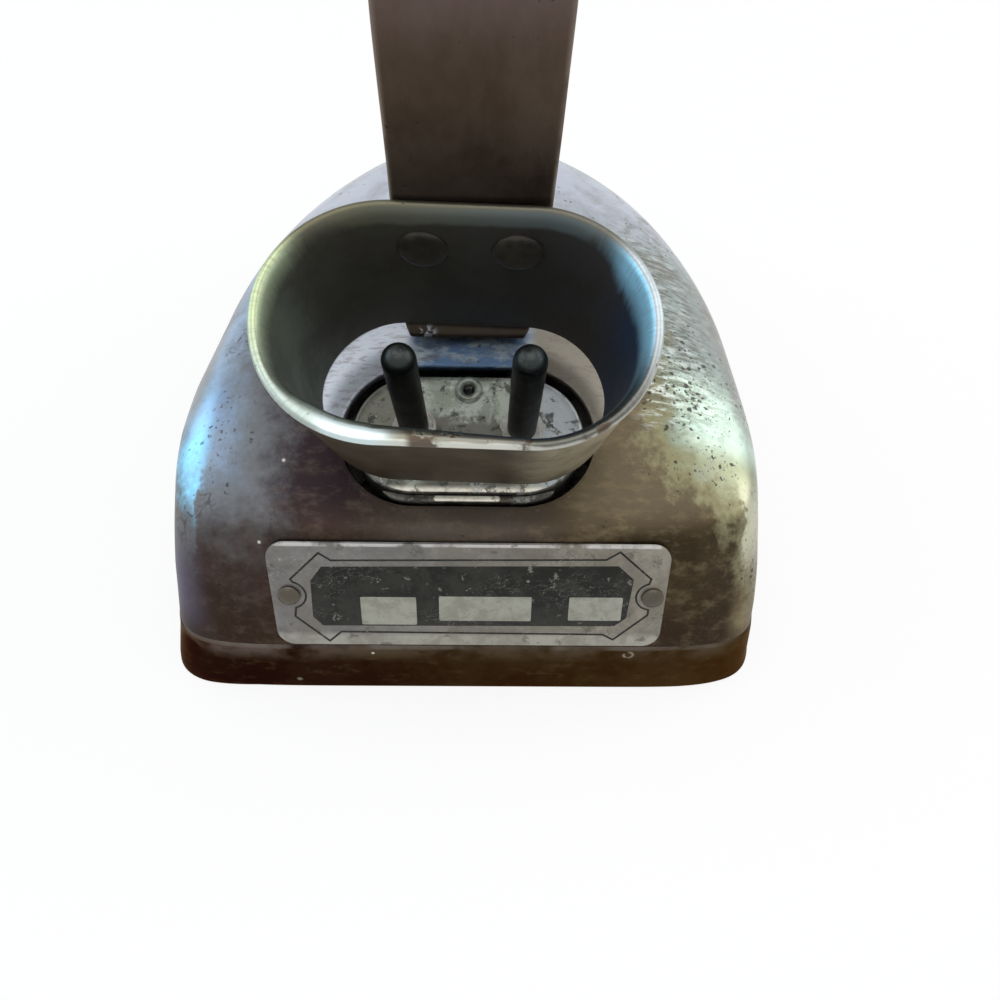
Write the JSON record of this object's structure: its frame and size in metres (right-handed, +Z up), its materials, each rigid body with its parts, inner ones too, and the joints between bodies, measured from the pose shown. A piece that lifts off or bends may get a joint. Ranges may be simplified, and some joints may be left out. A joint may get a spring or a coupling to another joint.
{
  "type": "electric iron",
  "caption": "Old plated electric flat iron with a flared plug collar over two contact pins, a bent strap handle and a turned wooden grip.",
  "frame": {"origin": "centre of the box around the iron, on the underside of the sole", "axes": "+X to the right, +Y toward the toe, +Z up from the sole"},
  "size_m": [0.1086, 0.1656, 0.1335],
  "materials": {
    "sole_iron": "tarnished plating over cast iron",
    "mica": "split mica sheet",
    "ribbon": "oxidised resistance ribbon",
    "raw_iron": "raw casting",
    "board": "pressed insulating board",
    "steel": "plain steel",
    "worn_nickel": "worn nickel plating with brown tarnish",
    "rusted_strap": "brown rusted plating",
    "plated_fasteners": "dulled nickel",
    "black_wood": "black enamel on turned wood",
    "collar_nickel": "worn nickel, bright at the rim",
    "rivet_steel": "dark steel",
    "terminal_tin": "dirty pale grey green",
    "porcelain": "unglazed white",
    "contact_pin": "dark oxidised metal",
    "brass": "dull brass",
    "plate_metal": "pale etched metal with a black panel"
  },
  "bodies": {
    "root": {"sole_plate": "sole_iron", "lower_mica": "mica", "heating_element": "ribbon", "upper_mica": "mica", "pressure_plate": "raw_iron", "insulating_board": "board", "rear_stud": "steel", "front_stud": "steel", "clamp_nuts": "steel", "top_cover": "worn_nickel", "handle_strap": "rusted_strap", "handle_washers": "steel", "cap_nuts": "plated_fasteners", "wooden_grip": "black_wood", "rear_ferrule": "plated_fasteners", "front_ferrule": "plated_fasteners", "grip_rod": "steel", "grip_nuts": "plated_fasteners", "plug_collar": "collar_nickel", "collar_rivets": "rivet_steel", "terminal_cap": "terminal_tin", "terminal_block": "porcelain", "terminal_bracket": "steel", "bracket_screws": "steel", "terminal_eyelet": "terminal_tin", "left_terminal_pin": "contact_pin", "right_terminal_pin": "contact_pin", "pin_bushings": "mica", "pin_nuts": "brass", "left_lead": "brass", "right_lead": "brass", "nameplate": "plate_metal", "nameplate_pins": "rivet_steel"}
  },
  "joints": []
}
